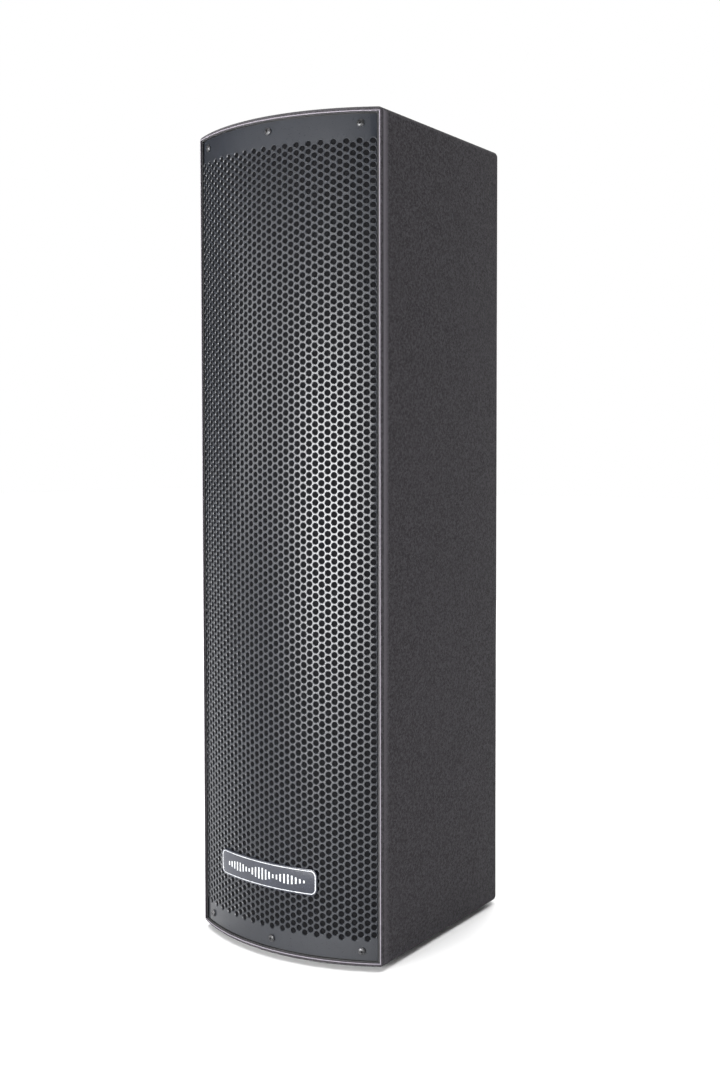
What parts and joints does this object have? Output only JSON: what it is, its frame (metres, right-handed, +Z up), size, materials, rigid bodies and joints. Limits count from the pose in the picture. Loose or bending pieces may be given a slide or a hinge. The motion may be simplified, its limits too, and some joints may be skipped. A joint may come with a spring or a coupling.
{
  "type": "column pa loudspeaker",
  "caption": "Tall floor-standing column loudspeaker: carpeted wooden box, bowed perforated steel grille, cone drivers and horn, amplifier panel at the back.",
  "frame": {"origin": "on the floor under the middle of the box", "axes": "+Z up, -Y the way the grille faces, +X to the right seen from the front"},
  "size_m": [0.245, 0.265, 0.88],
  "materials": {
    "carpet": "short-pile charcoal carpet",
    "painted_wood": "black paint",
    "bare_wood": "bare",
    "grille_coat": "satin black powder coat",
    "grille_cloth": "woven",
    "badge_gloss": "gloss black",
    "black_steel": "black",
    "pressed_steel": "black paint",
    "magnet_steel": "matt",
    "cone_paper": "black pulp",
    "rubber": "matt",
    "heatsink_aluminium": "black anodised",
    "latch_metal": "brushed",
    "circuit_board": "green board",
    "winding": "copper winding",
    "black_plastic": "moulded"
  },
  "bodies": {
    "cabinet": {"side_panel_left": "painted_wood", "side_panel_right": "painted_wood", "top_panel": "painted_wood", "bottom_panel": "painted_wood", "back_panel": "painted_wood", "front_baffle": "painted_wood", "amp_chamber": "bare_wood", "carpet_covering": "carpet", "grille_sheet": "grille_coat", "grille_cloth": "grille_cloth", "badge_plate": "badge_gloss", "grille_screw_top_left": "black_steel", "grille_screw_top_middle": "black_steel", "grille_screw_top_right": "black_steel", "grille_screw_bottom_left": "black_steel", "grille_screw_bottom_middle": "black_steel", "grille_screw_bottom_right": "black_steel", "lowest_driver_basket": "pressed_steel", "lowest_driver_surround": "rubber", "lowest_driver_magnet": "magnet_steel", "lower_driver_basket": "pressed_steel", "lower_driver_surround": "rubber", "lower_driver_magnet": "magnet_steel", "upper_driver_basket": "pressed_steel", "upper_driver_surround": "rubber", "upper_driver_magnet": "magnet_steel", "highest_driver_basket": "pressed_steel", "highest_driver_surround": "rubber", "highest_driver_magnet": "magnet_steel", "horn": "black_plastic", "compression_driver": "magnet_steel", "foot_front_left": "rubber", "foot_front_right": "rubber", "foot_rear_left": "rubber", "foot_rear_right": "rubber", "pole_socket": "black_steel", "carry_handle": "black_plastic", "control_panel": "black_steel", "heatsink": "heatsink_aluminium", "circuit_board": "circuit_board", "transformer": "winding", "channel_1_input_socket": "black_plastic", "channel_2_input_socket": "black_plastic", "speaker_output_jack": "black_plastic", "mains_inlet": "black_plastic", "switch_housing": "black_plastic"},
    "lowest_driver_cone": {"lowest_driver_cone": "cone_paper"},
    "lower_driver_cone": {"lower_driver_cone": "cone_paper"},
    "upper_driver_cone": {"upper_driver_cone": "cone_paper"},
    "highest_driver_cone": {"highest_driver_cone": "cone_paper"},
    "channel_1_treble_knob": {"channel_1_treble_knob": "black_plastic"},
    "channel_1_bass_knob": {"channel_1_bass_knob": "black_plastic"},
    "channel_1_volume_knob": {"channel_1_volume_knob": "black_plastic"},
    "channel_2_treble_knob": {"channel_2_treble_knob": "black_plastic"},
    "channel_2_bass_knob": {"channel_2_bass_knob": "black_plastic"},
    "channel_2_volume_knob": {"channel_2_volume_knob": "black_plastic"},
    "master_volume_knob": {"master_volume_knob": "black_plastic"},
    "power_rocker": {"power_rocker": "black_plastic"},
    "channel_1_release_latch": {"channel_1_release_latch": "latch_metal"},
    "channel_2_release_latch": {"channel_2_release_latch": "latch_metal"}
  },
  "joints": [
    {"name": "lowest_cone_travel", "type": "slide", "parent": "cabinet", "child": "lowest_driver_cone", "axis": [0, -1, 0], "range_m": [-0.004, 0.004], "stiffness_N_per_m": 1500, "deforming": ["lowest_driver_surround"]},
    {"name": "lower_cone_travel", "type": "slide", "parent": "cabinet", "child": "lower_driver_cone", "axis": [0, -1, 0], "range_m": [-0.004, 0.004], "stiffness_N_per_m": 1500, "deforming": ["lower_driver_surround"]},
    {"name": "upper_cone_travel", "type": "slide", "parent": "cabinet", "child": "upper_driver_cone", "axis": [0, -1, 0], "range_m": [-0.004, 0.004], "stiffness_N_per_m": 1500, "deforming": ["upper_driver_surround"]},
    {"name": "highest_cone_travel", "type": "slide", "parent": "cabinet", "child": "highest_driver_cone", "axis": [0, -1, 0], "range_m": [-0.004, 0.004], "stiffness_N_per_m": 1500, "deforming": ["highest_driver_surround"]},
    {"name": "channel_1_treble_turn", "type": "hinge", "parent": "cabinet", "child": "channel_1_treble_knob", "pos_m": [0.016, 0.1168, 0.458], "axis": [0, -1, 0], "range_deg": [-150, 150]},
    {"name": "channel_1_bass_turn", "type": "hinge", "parent": "cabinet", "child": "channel_1_bass_knob", "pos_m": [-0.026, 0.1168, 0.458], "axis": [0, -1, 0], "range_deg": [-150, 150]},
    {"name": "channel_1_volume_turn", "type": "hinge", "parent": "cabinet", "child": "channel_1_volume_knob", "pos_m": [-0.068, 0.1168, 0.458], "axis": [0, -1, 0], "range_deg": [-150, 150]},
    {"name": "channel_2_treble_turn", "type": "hinge", "parent": "cabinet", "child": "channel_2_treble_knob", "pos_m": [0.016, 0.1168, 0.412], "axis": [0, -1, 0], "range_deg": [-150, 150]},
    {"name": "channel_2_bass_turn", "type": "hinge", "parent": "cabinet", "child": "channel_2_bass_knob", "pos_m": [-0.026, 0.1168, 0.412], "axis": [0, -1, 0], "range_deg": [-150, 150]},
    {"name": "channel_2_volume_turn", "type": "hinge", "parent": "cabinet", "child": "channel_2_volume_knob", "pos_m": [-0.068, 0.1168, 0.412], "axis": [0, -1, 0], "range_deg": [-150, 150]},
    {"name": "master_volume_turn", "type": "hinge", "parent": "cabinet", "child": "master_volume_knob", "pos_m": [-0.068, 0.1168, 0.368], "axis": [0, -1, 0], "range_deg": [-150, 150]},
    {"name": "power_rocker_tilt", "type": "hinge", "parent": "cabinet", "child": "power_rocker", "pos_m": [0.048, 0.1138, 0.233], "axis": [1, 0, 0], "range_deg": [-16, 0]},
    {"name": "channel_1_latch_push", "type": "slide", "parent": "cabinet", "child": "channel_1_release_latch", "axis": [0, -1, 0], "range_m": [0, 0.0015], "stiffness_N_per_m": 600},
    {"name": "channel_2_latch_push", "type": "slide", "parent": "cabinet", "child": "channel_2_release_latch", "axis": [0, -1, 0], "range_m": [0, 0.0015], "stiffness_N_per_m": 600}
  ]
}
